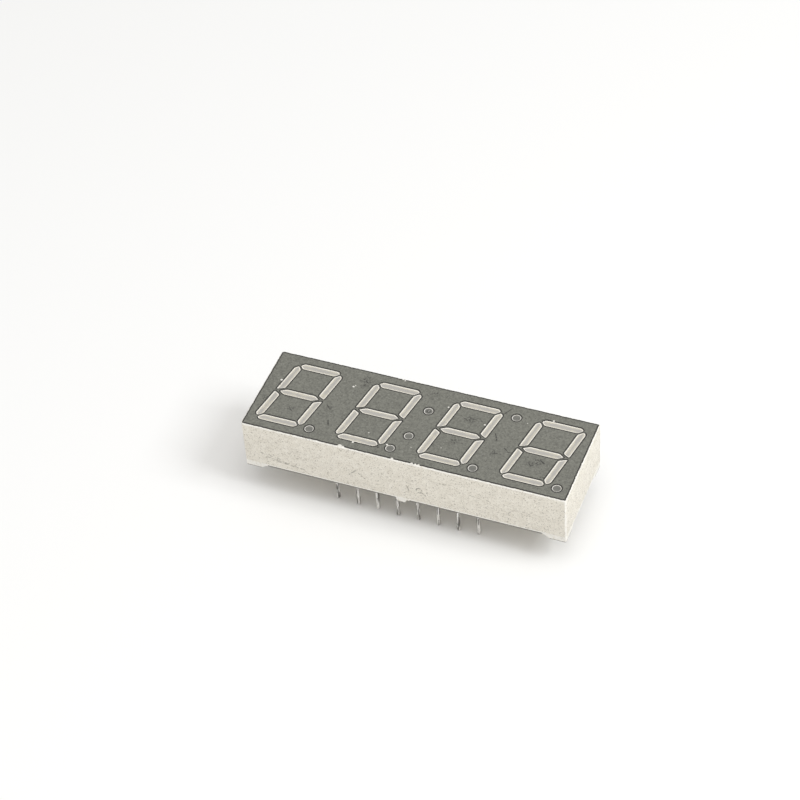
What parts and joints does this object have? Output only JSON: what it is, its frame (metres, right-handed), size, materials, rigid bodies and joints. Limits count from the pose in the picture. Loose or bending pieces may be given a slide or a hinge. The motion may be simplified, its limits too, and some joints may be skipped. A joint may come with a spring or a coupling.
{
  "type": "seven-segment display module",
  "caption": "Low rectangular display block with slanted seven-segment digits, a colon and points in a grey printed face, on corner feet, with rows of straight pins below.",
  "frame": {"origin": "centre of the seating plane, on which the corner feet stand, midway between the two rows of pins", "axes": "+X along the digits in reading order, +Y toward the tops of the digits, +Z out of the printed face"},
  "size_m": [0.0402, 0.0128, 0.011],
  "materials": {
    "white_plastic": "fine matt moulding, lightly scuffed",
    "grey_print": "matt grey print, finely mottled",
    "segment_resin": "milky diffusing resin",
    "dot_resin": "milky resin under a film of the grey print",
    "board_laminate": "pale glass-filled laminate",
    "copper": "plated copper",
    "die_crystal": "crystal",
    "gold_wire": "gold",
    "solder": "satin solder",
    "tinned_wire": "hot-tinned, slightly uneven",
    "back_resin": "poured resin, semi-gloss"
  },
  "bodies": {
    "root": {"apostrophe_dot": "dot_resin", "back_resin": "back_resin", "bond_wires": "gold_wire", "circuit_board": "board_laminate", "colon_lower": "dot_resin", "colon_upper": "dot_resin", "copper_pads": "copper", "decimal_point_1": "dot_resin", "decimal_point_2": "dot_resin", "decimal_point_3": "dot_resin", "decimal_point_4": "dot_resin", "digit_1_segment_a": "segment_resin", "digit_1_segment_b": "segment_resin", "digit_1_segment_c": "segment_resin", "digit_1_segment_d": "segment_resin", "digit_1_segment_e": "segment_resin", "digit_1_segment_f": "segment_resin", "digit_1_segment_g": "segment_resin", "digit_2_segment_a": "segment_resin", "digit_2_segment_b": "segment_resin", "digit_2_segment_c": "segment_resin", "digit_2_segment_d": "segment_resin", "digit_2_segment_e": "segment_resin", "digit_2_segment_f": "segment_resin", "digit_2_segment_g": "segment_resin", "digit_3_segment_a": "segment_resin", "digit_3_segment_b": "segment_resin", "digit_3_segment_c": "segment_resin", "digit_3_segment_d": "segment_resin", "digit_3_segment_e": "segment_resin", "digit_3_segment_f": "segment_resin", "digit_3_segment_g": "segment_resin", "digit_4_segment_a": "segment_resin", "digit_4_segment_b": "segment_resin", "digit_4_segment_c": "segment_resin", "digit_4_segment_d": "segment_resin", "digit_4_segment_e": "segment_resin", "digit_4_segment_f": "segment_resin", "digit_4_segment_g": "segment_resin", "face_ink": "grey_print", "housing": "white_plastic", "led_dies": "die_crystal", "pin_01": "tinned_wire", "pin_02": "tinned_wire", "pin_03": "tinned_wire", "pin_04": "tinned_wire", "pin_05": "tinned_wire", "pin_06": "tinned_wire", "pin_07": "tinned_wire", "pin_08": "tinned_wire", "pin_09": "tinned_wire", "pin_10": "tinned_wire", "pin_11": "tinned_wire", "pin_12": "tinned_wire", "pin_13": "tinned_wire", "pin_14": "tinned_wire", "pin_15": "tinned_wire", "pin_16": "tinned_wire", "solder_joints": "solder"}
  },
  "joints": []
}
